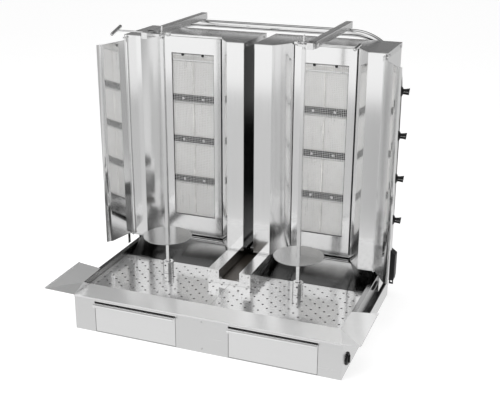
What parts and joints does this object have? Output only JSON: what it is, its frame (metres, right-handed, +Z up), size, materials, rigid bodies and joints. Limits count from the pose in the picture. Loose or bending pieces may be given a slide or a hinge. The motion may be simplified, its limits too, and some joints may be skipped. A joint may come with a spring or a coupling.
{
  "type": "vertical rotisserie broiler",
  "caption": "Twin upright-spit gas broiler: driven spits with meat discs before sliding burner housings, on a base with perforated drip trays and fat drawers.",
  "frame": {"origin": "centre of the base's footprint, on the counter", "axes": "+Z up, -Y towards the cook at the front, +X to the right seen from the front"},
  "size_m": [1.154, 0.795, 1.074],
  "materials": {
    "brushed_steel": "brushed stainless steel",
    "polished_steel": "polished stainless steel",
    "dark_steel": "dark satin",
    "cast_grey": "cast grey",
    "ceramic": "porous ceramic plaques",
    "black_plastic": "satin black",
    "wire": "woven stainless wire"
  },
  "bodies": {
    "base": {"base_shell": "brushed_steel", "front_fascia": "brushed_steel", "front_lip": "brushed_steel", "rear_apron": "polished_steel", "centre_guide": "brushed_steel", "frame_hoop": "polished_steel", "switch_bezel": "black_plastic", "drip_tray_left": "polished_steel", "side_rail_left": "brushed_steel", "gear_motor_left": "cast_grey", "leg_bracket_left": "dark_steel", "top_arm_left": "brushed_steel", "drip_tray_right": "polished_steel", "side_rail_right": "brushed_steel", "gear_motor_right": "cast_grey", "leg_bracket_right": "dark_steel", "top_arm_right": "brushed_steel"},
    "drawer_left": {"fat_drawer_left": "brushed_steel"},
    "drawer_right": {"fat_drawer_right": "brushed_steel"},
    "spit_left": {"drive_socket_left": "polished_steel", "spit_left": "brushed_steel", "meat_disc_left": "polished_steel"},
    "spit_right": {"drive_socket_right": "polished_steel", "spit_right": "brushed_steel", "meat_disc_right": "polished_steel"},
    "slider_left": {"slider_bar_left": "brushed_steel"},
    "clamp_left": {"t_handle_left": "brushed_steel"},
    "slider_right": {"slider_bar_right": "brushed_steel"},
    "clamp_right": {"t_handle_right": "brushed_steel"},
    "housing_left": {"housing_casing_left": "brushed_steel", "reflector_panel_left": "brushed_steel", "top_cover_left": "brushed_steel", "burner_frame_left": "brushed_steel", "wire_guard_left": "wire", "gas_manifold_left": "cast_grey", "burner_left_1": "ceramic", "burner_left_2": "ceramic", "burner_left_3": "ceramic", "burner_left_4": "ceramic"},
    "door_left": {"side_door_left": "polished_steel"},
    "knob_left_1": {"gas_knob_left_1": "black_plastic"},
    "knob_left_2": {"gas_knob_left_2": "black_plastic"},
    "knob_left_3": {"gas_knob_left_3": "black_plastic"},
    "knob_left_4": {"gas_knob_left_4": "black_plastic"},
    "housing_right": {"housing_casing_right": "brushed_steel", "reflector_panel_right": "brushed_steel", "top_cover_right": "brushed_steel", "burner_frame_right": "brushed_steel", "wire_guard_right": "wire", "gas_manifold_right": "cast_grey", "burner_right_1": "ceramic", "burner_right_2": "ceramic", "burner_right_3": "ceramic", "burner_right_4": "ceramic"},
    "door_right": {"side_door_right": "polished_steel"},
    "knob_right_1": {"gas_knob_right_1": "black_plastic"},
    "knob_right_2": {"gas_knob_right_2": "black_plastic"},
    "knob_right_3": {"gas_knob_right_3": "black_plastic"},
    "knob_right_4": {"gas_knob_right_4": "black_plastic"},
    "switch": {"switch_knob": "black_plastic"}
  },
  "joints": [
    {"name": "drawer_left_slide", "type": "slide", "parent": "base", "child": "drawer_left", "axis": [0, -1, 0], "range_m": [0, 0.18]},
    {"name": "drawer_right_slide", "type": "slide", "parent": "base", "child": "drawer_right", "axis": [0, -1, 0], "range_m": [0, 0.18]},
    {"name": "spit_left_spin", "type": "hinge", "parent": "base", "child": "spit_left", "pos_m": [-0.256, -0.0675, 0.1486], "axis": [0, 0, 1], "continuous": true},
    {"name": "spit_right_spin", "type": "hinge", "parent": "base", "child": "spit_right", "pos_m": [0.256, -0.0675, 0.1486], "axis": [0, 0, 1], "continuous": true},
    {"name": "slider_left_slide", "type": "slide", "parent": "base", "child": "slider_left", "axis": [0, -1, 0], "range_m": [0, 0.06]},
    {"name": "clamp_left_turn", "type": "hinge", "parent": "base", "child": "clamp_left", "pos_m": [-0.3025, -0.0675, 1.0455], "axis": [1, 0, 0], "range_deg": [-180, 180]},
    {"name": "slider_right_slide", "type": "slide", "parent": "base", "child": "slider_right", "axis": [0, -1, 0], "range_m": [0, 0.06]},
    {"name": "clamp_right_turn", "type": "hinge", "parent": "base", "child": "clamp_right", "pos_m": [0.3025, -0.0675, 1.0455], "axis": [1, 0, 0], "range_deg": [-180, 180]},
    {"name": "housing_left_slide", "type": "slide", "parent": "base", "child": "housing_left", "axis": [0, -1, 0], "range_m": [0, 0.12]},
    {"name": "door_left_swing", "type": "hinge", "parent": "housing_left", "child": "door_left", "pos_m": [-0.49, 0.0935, 0.599], "axis": [0, 0, 1], "range_deg": [-77, 73]},
    {"name": "knob_left_1_turn", "type": "hinge", "parent": "housing_left", "child": "knob_left_1", "pos_m": [-0.496, 0.3155, 0.329], "axis": [1, 0, 0], "range_deg": [-180, 0]},
    {"name": "knob_left_2_turn", "type": "hinge", "parent": "housing_left", "child": "knob_left_2", "pos_m": [-0.496, 0.3155, 0.495], "axis": [1, 0, 0], "range_deg": [-180, 0]},
    {"name": "knob_left_3_turn", "type": "hinge", "parent": "housing_left", "child": "knob_left_3", "pos_m": [-0.496, 0.3155, 0.661], "axis": [1, 0, 0], "range_deg": [-180, 0]},
    {"name": "knob_left_4_turn", "type": "hinge", "parent": "housing_left", "child": "knob_left_4", "pos_m": [-0.496, 0.3155, 0.827], "axis": [1, 0, 0], "range_deg": [-180, 0]},
    {"name": "housing_right_slide", "type": "slide", "parent": "base", "child": "housing_right", "axis": [0, -1, 0], "range_m": [0, 0.12]},
    {"name": "door_right_swing", "type": "hinge", "parent": "housing_right", "child": "door_right", "pos_m": [0.49, 0.0935, 0.599], "axis": [0, 0, 1], "range_deg": [-90.5, 59.5]},
    {"name": "knob_right_1_turn", "type": "hinge", "parent": "housing_right", "child": "knob_right_1", "pos_m": [0.496, 0.3155, 0.329], "axis": [1, 0, 0], "range_deg": [0, 180]},
    {"name": "knob_right_2_turn", "type": "hinge", "parent": "housing_right", "child": "knob_right_2", "pos_m": [0.496, 0.3155, 0.495], "axis": [1, 0, 0], "range_deg": [0, 180]},
    {"name": "knob_right_3_turn", "type": "hinge", "parent": "housing_right", "child": "knob_right_3", "pos_m": [0.496, 0.3155, 0.661], "axis": [1, 0, 0], "range_deg": [0, 180]},
    {"name": "knob_right_4_turn", "type": "hinge", "parent": "housing_right", "child": "knob_right_4", "pos_m": [0.496, 0.3155, 0.827], "axis": [1, 0, 0], "range_deg": [0, 180]},
    {"name": "switch_turn", "type": "hinge", "parent": "base", "child": "switch", "pos_m": [0.5003, -0.2805, 0.049], "axis": [1, 0, 0], "range_deg": [0, 90]}
  ]
}
